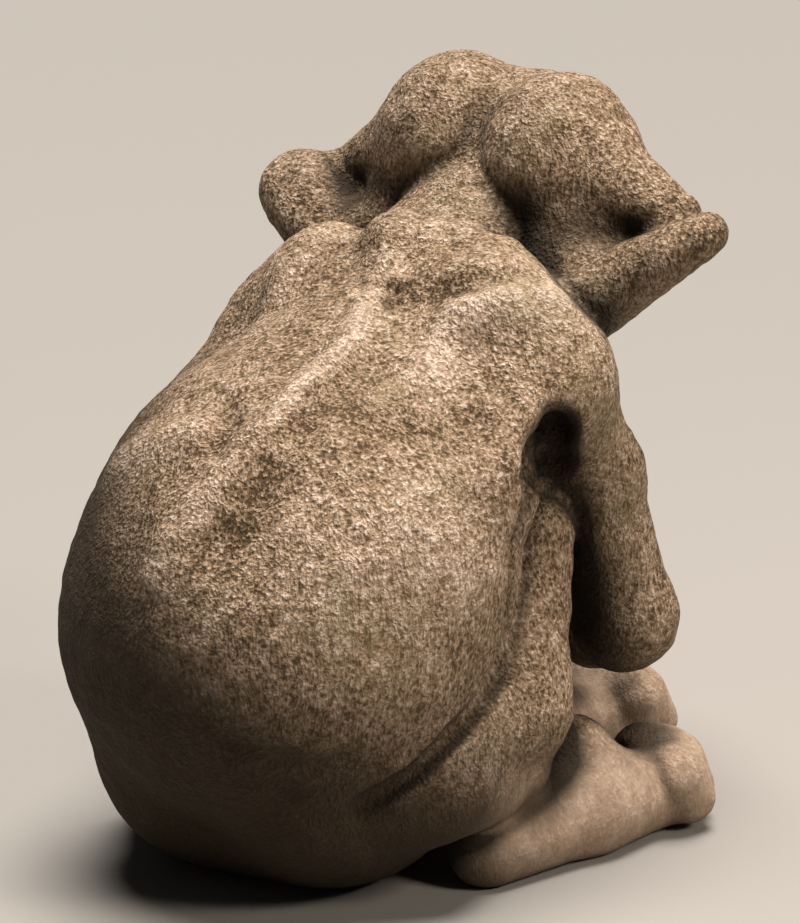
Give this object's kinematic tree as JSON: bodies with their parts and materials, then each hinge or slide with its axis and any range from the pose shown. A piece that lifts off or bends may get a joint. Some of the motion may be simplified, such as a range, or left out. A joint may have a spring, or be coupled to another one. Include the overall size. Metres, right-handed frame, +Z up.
{
  "type": "gargoyle statue",
  "caption": "Hunched seated gargoyle statue in cast stone, knees drawn up, arms folded round the shins, head bowed, with paddle-shaped ears; it rests on a flat underside.",
  "frame": {"origin": "on the resting plane, under the centre of the figure's bounding box", "axes": "the figure faces -Y, its own left side is +X, and +Z is up; X is the shortest extent and Y the longest"},
  "size_m": [0.2084, 0.2846, 0.283],
  "materials": {
    "cast_stone": "matte grey-brown cast stone with a coarse crusty grain, pale dry-brushed highs and dark olive-brown hollows"
  },
  "bodies": {
    "root": {"gargoyle": "cast_stone"}
  },
  "joints": []
}
